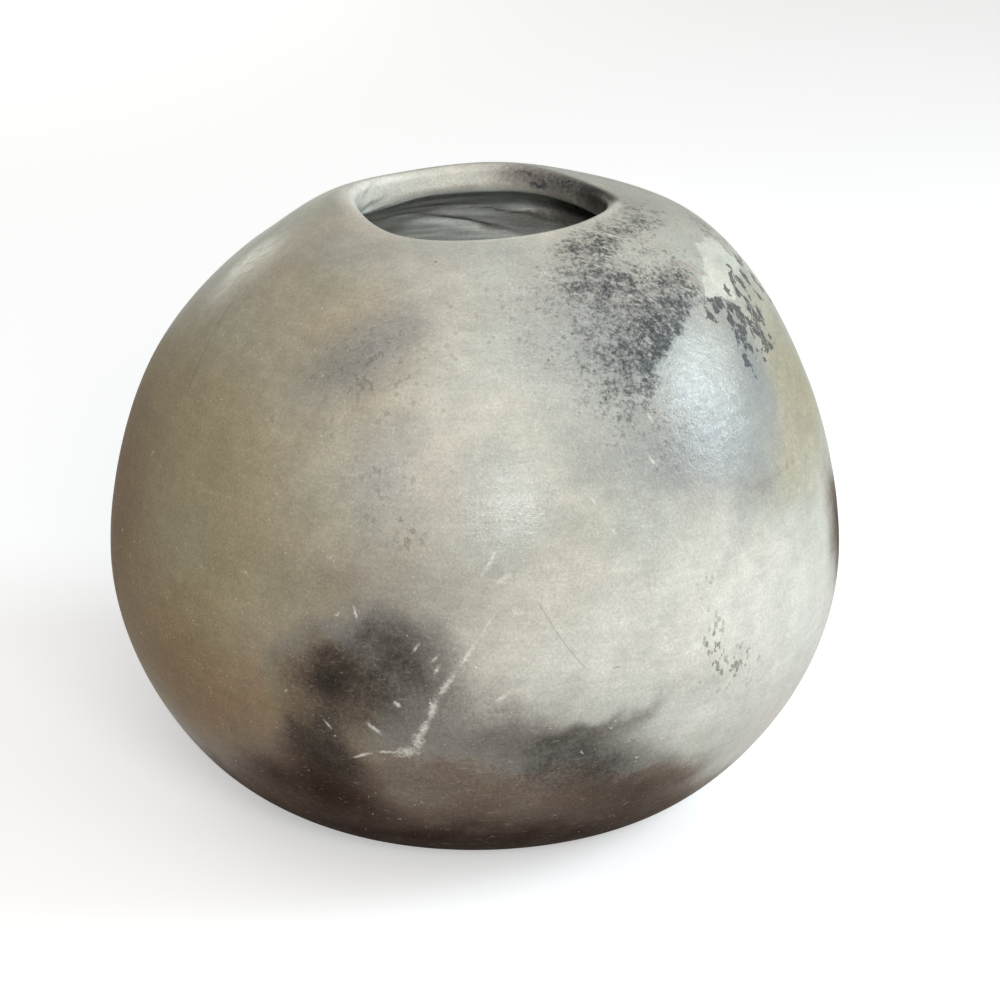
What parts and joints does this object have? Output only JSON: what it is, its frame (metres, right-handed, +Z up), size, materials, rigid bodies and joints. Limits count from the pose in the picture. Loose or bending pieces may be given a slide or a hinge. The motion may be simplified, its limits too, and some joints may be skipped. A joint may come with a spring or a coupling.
{
  "type": "seed pot",
  "caption": "Squat round hand-built clay jar with a flat foot and a small rounded mouth, burnished and smoke-fired, for keeping seeds dry.",
  "frame": {"origin": "middle of the flat foot's underside, on the surface the pot stands on", "axes": "+Z up through the mouth; the pictured side faces -Y; +X to the right of that view, where the mouth is a little higher"},
  "size_m": [0.21, 0.21, 0.1722],
  "materials": {
    "smoked_clay": "burnished and smoke-darkened, unglazed",
    "stone_clay": "burnished, unglazed, smoke-clouded",
    "pale_clay": "burnished, unglazed, pale with soot"
  },
  "bodies": {
    "root": {"base_bowl": "smoked_clay", "wall_coil_1": "stone_clay", "wall_coil_2": "stone_clay", "wall_coil_3": "stone_clay", "wall_coil_4": "stone_clay", "wall_coil_5": "stone_clay", "wall_coil_6": "stone_clay", "wall_coil_7": "stone_clay", "wall_coil_8": "stone_clay", "rim_coil": "pale_clay"}
  },
  "joints": []
}
